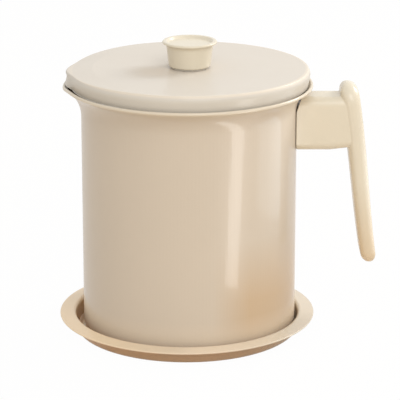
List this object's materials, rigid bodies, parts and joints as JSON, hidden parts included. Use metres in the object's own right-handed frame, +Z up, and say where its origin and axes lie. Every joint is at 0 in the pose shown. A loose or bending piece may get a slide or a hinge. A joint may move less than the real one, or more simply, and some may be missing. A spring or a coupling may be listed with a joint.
{
  "type": "grease strainer pot",
  "caption": "Cream metal grease container with a pouring lip, side handle, knobbed lid, lift-out mesh strainer and drip tray.",
  "frame": {"origin": "on the pot's axis, on the flat underside of the drip tray", "axes": "+Z up along the pot's axis, +X towards the side handle, -X towards the pouring spout"},
  "size_m": [0.1933, 0.1564, 0.18],
  "materials": {
    "painted_steel": "satin cream paint",
    "handle_plastic": "satin cream moulding",
    "bare_steel": "satin stainless steel",
    "steel_mesh": "woven wire",
    "plated_steel": "bright zinc plating",
    "brass_insert": "machined",
    "soft_gasket": "matt"
  },
  "bodies": {
    "tray": {"drip_tray": "painted_steel"},
    "pot": {"pot_body": "painted_steel", "handle_bracket": "painted_steel", "bracket_nut": "plated_steel", "handle": "handle_plastic", "handle_screw_washer": "plated_steel", "handle_screw": "plated_steel"},
    "strainer": {"strainer_collar": "bare_steel", "strainer_mesh": "steel_mesh", "strainer_clamp_ring": "bare_steel"},
    "lid": {"lid": "painted_steel", "lid_knob": "handle_plastic", "knob_insert": "brass_insert", "knob_gasket": "soft_gasket", "knob_washer": "plated_steel", "knob_screw": "plated_steel"}
  },
  "joints": [
    {"name": "pot_lift", "type": "slide", "parent": "tray", "child": "pot", "axis": [0, 0, 1], "range_m": [0, 0.05]},
    {"name": "strainer_lift", "type": "slide", "parent": "pot", "child": "strainer", "axis": [0, 0, 1], "range_m": [0, 0.08]},
    {"name": "lid_lift", "type": "slide", "parent": "strainer", "child": "lid", "axis": [0, 0, 1], "range_m": [0, 0.06]}
  ]
}
